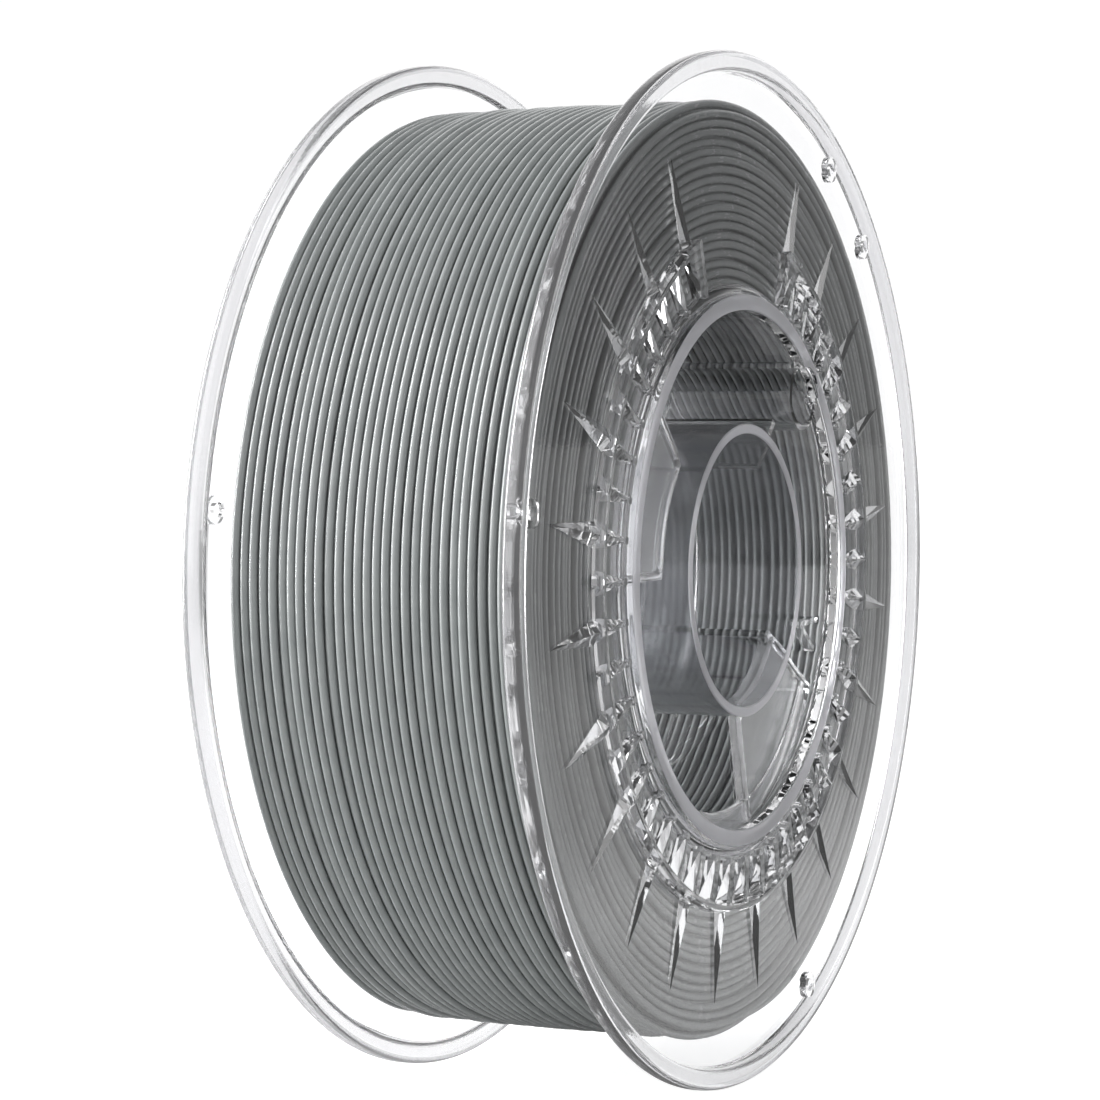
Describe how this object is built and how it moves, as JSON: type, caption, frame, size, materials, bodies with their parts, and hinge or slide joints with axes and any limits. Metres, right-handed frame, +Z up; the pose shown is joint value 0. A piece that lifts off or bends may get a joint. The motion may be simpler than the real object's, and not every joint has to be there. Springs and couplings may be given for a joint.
{
  "type": "filament spool",
  "caption": "Clear two-flange spool with a star relief on each flange, a hollow hub and a bore for a holder shaft, wound full of grey filament.",
  "frame": {"origin": "centre of the bore at mid-width, on the spool's axis", "axes": "+Y along the spool's axis from the front flange to the rear one, +Z up, +X to the right seen from the front"},
  "size_m": [0.2, 0.0662, 0.2],
  "materials": {
    "clear_plastic": "clear, polished, water-white",
    "frosted_plastic": "clear with a fine satin texture from the mould",
    "grey_filament": "satin, opaque grey"
  },
  "bodies": {
    "root": {"filament_start_clip": "clear_plastic", "filament_winding": "grey_filament", "front_bore_tube": "frosted_plastic", "front_drum": "clear_plastic", "front_flange_disc": "clear_plastic", "front_joining_boss": "clear_plastic", "front_joining_boss_rib": "clear_plastic", "front_left_pocket_floor": "clear_plastic", "front_left_pocket_rib_high": "clear_plastic", "front_left_pocket_rib_low": "clear_plastic", "front_lower_pocket_floor": "clear_plastic", "front_lower_pocket_rib_high": "clear_plastic", "front_lower_pocket_rib_low": "clear_plastic", "front_rim": "clear_plastic", "front_star_relief": "clear_plastic", "rear_bore_tube": "frosted_plastic", "rear_drum": "clear_plastic", "rear_flange_disc": "clear_plastic", "rear_joining_boss": "clear_plastic", "rear_joining_boss_rib": "clear_plastic", "rear_left_pocket_floor": "clear_plastic", "rear_left_pocket_rib_high": "clear_plastic", "rear_left_pocket_rib_low": "clear_plastic", "rear_lower_pocket_floor": "clear_plastic", "rear_lower_pocket_rib_high": "clear_plastic", "rear_lower_pocket_rib_low": "clear_plastic", "rear_rim": "clear_plastic", "rear_star_relief": "clear_plastic"}
  },
  "joints": []
}
